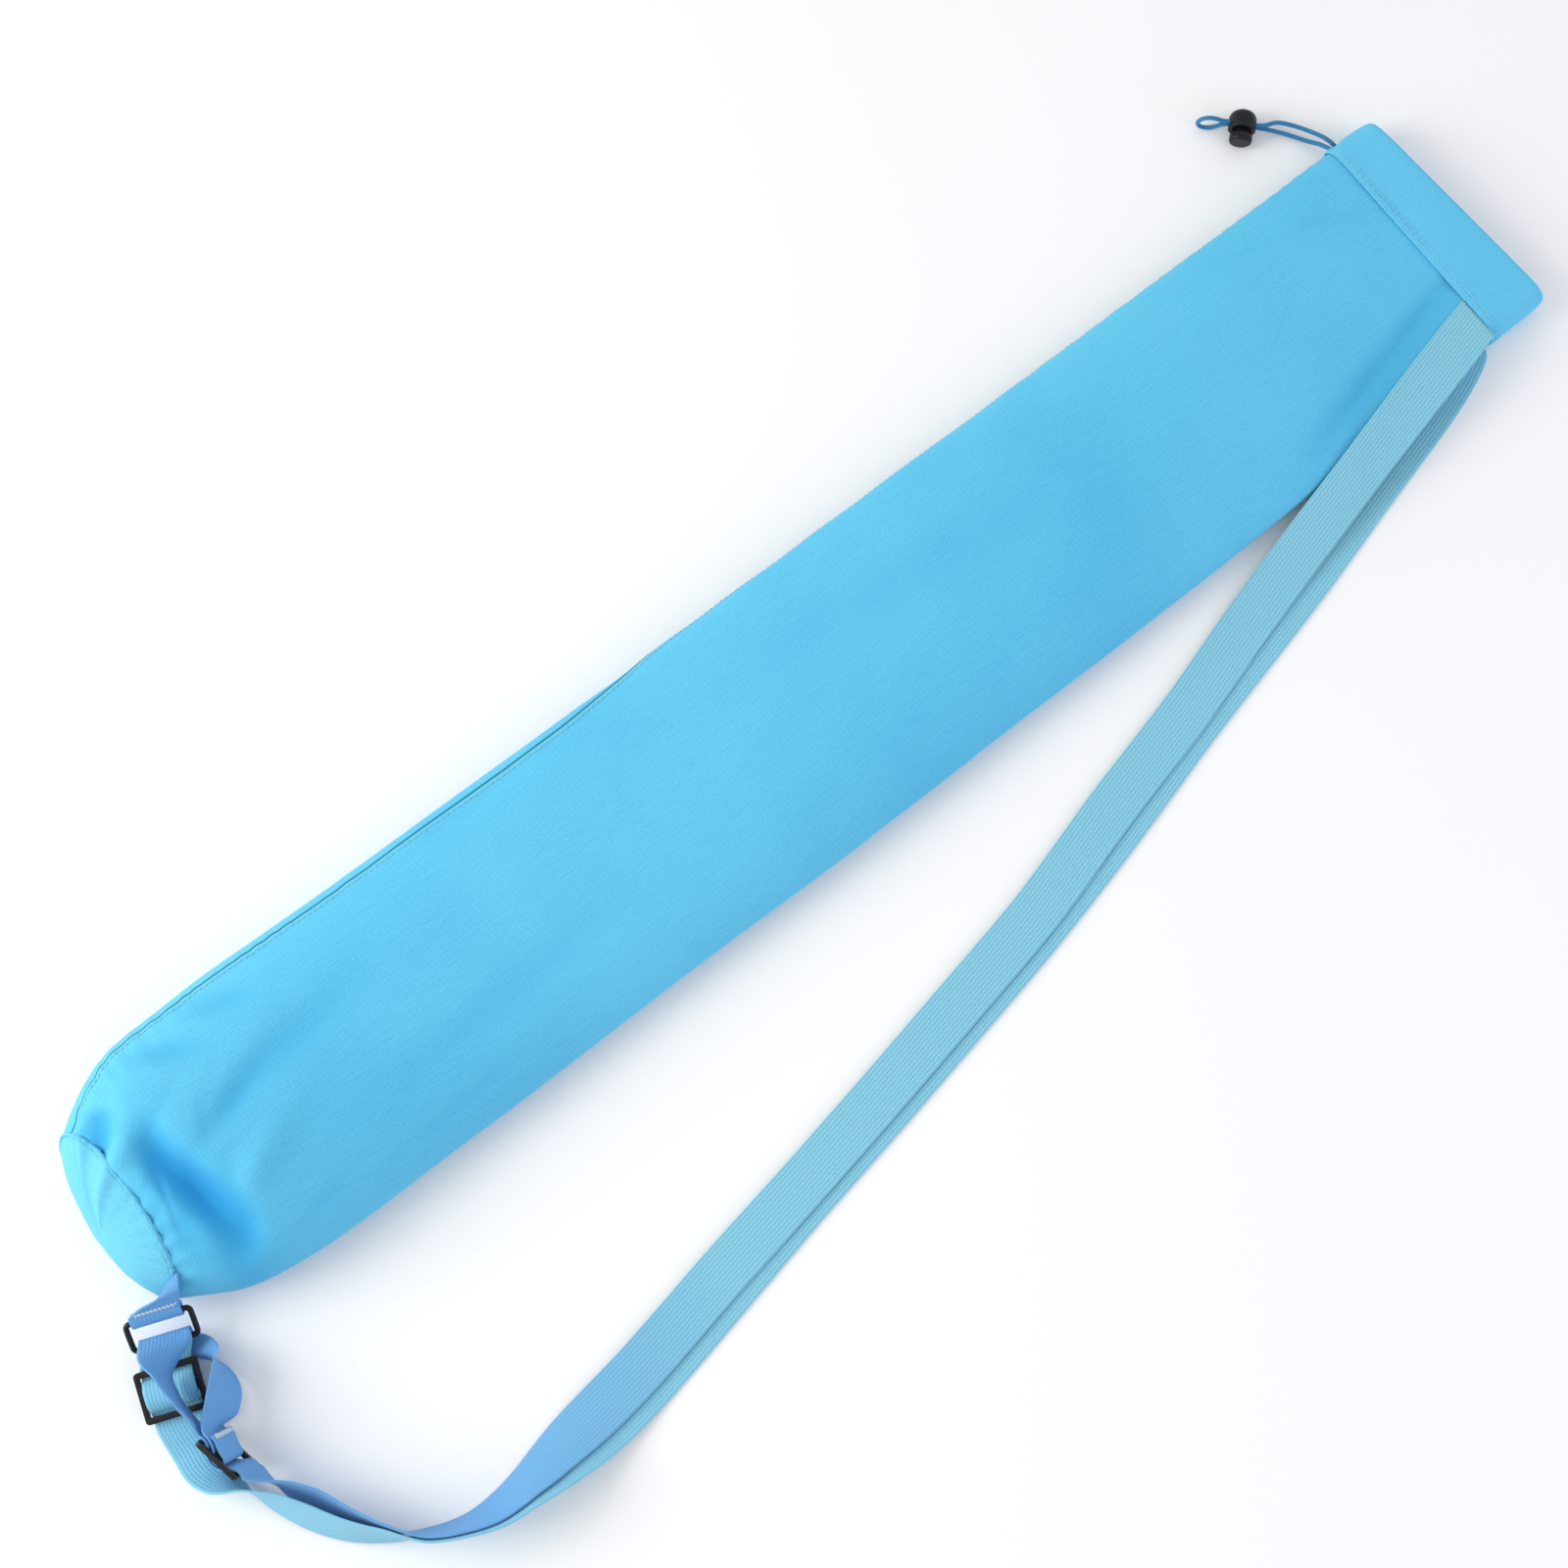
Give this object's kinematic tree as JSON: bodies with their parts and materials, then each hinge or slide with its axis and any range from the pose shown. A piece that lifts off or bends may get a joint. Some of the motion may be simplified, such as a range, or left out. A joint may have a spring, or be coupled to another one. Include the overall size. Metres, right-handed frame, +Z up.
{
  "type": "drawstring mat bag",
  "caption": "Long cloth tube bag for a rolled mat, with a corded mouth and cord lock, a round base, and webbing shoulder straps that meet at a ring on the base seam.",
  "frame": {"origin": "on the flat underside of the cloth tube, half way along the bag between base and mouth", "axes": "+X from the base to the mouth, +Y towards the drawcord side with the straps on the -Y side, +Z up from the surface the bag lies on"},
  "size_m": [0.8944, 0.3598, 0.0541],
  "materials": {
    "cloth": "matte woven cloth",
    "base_cloth": "matte woven cloth",
    "casing_cloth": "matte woven cloth, doubled",
    "webbing": "ribbed woven webbing",
    "hardware": "moulded, half gloss",
    "cord": "braided cord"
  },
  "bodies": {
    "bag": {"body_panel": "cloth", "base_panel": "base_cloth", "drawcord_casing": "casing_cloth", "front_strap": "webbing", "back_strap": "webbing", "strap_tab": "webbing", "strap_ring": "hardware", "front_slider": "hardware", "back_slider": "hardware", "drawcord": "cord", "cord_lock_barrel": "hardware"},
    "lock_plunger": {"cord_lock_plunger": "hardware"}
  },
  "joints": [
    {"name": "plunger_press", "type": "slide", "parent": "bag", "child": "lock_plunger", "axis": [0.7218, 0.6921, 0], "range_m": [0, 0.0025], "stiffness_N_per_m": 300, "springref_m": -0.002}
  ]
}
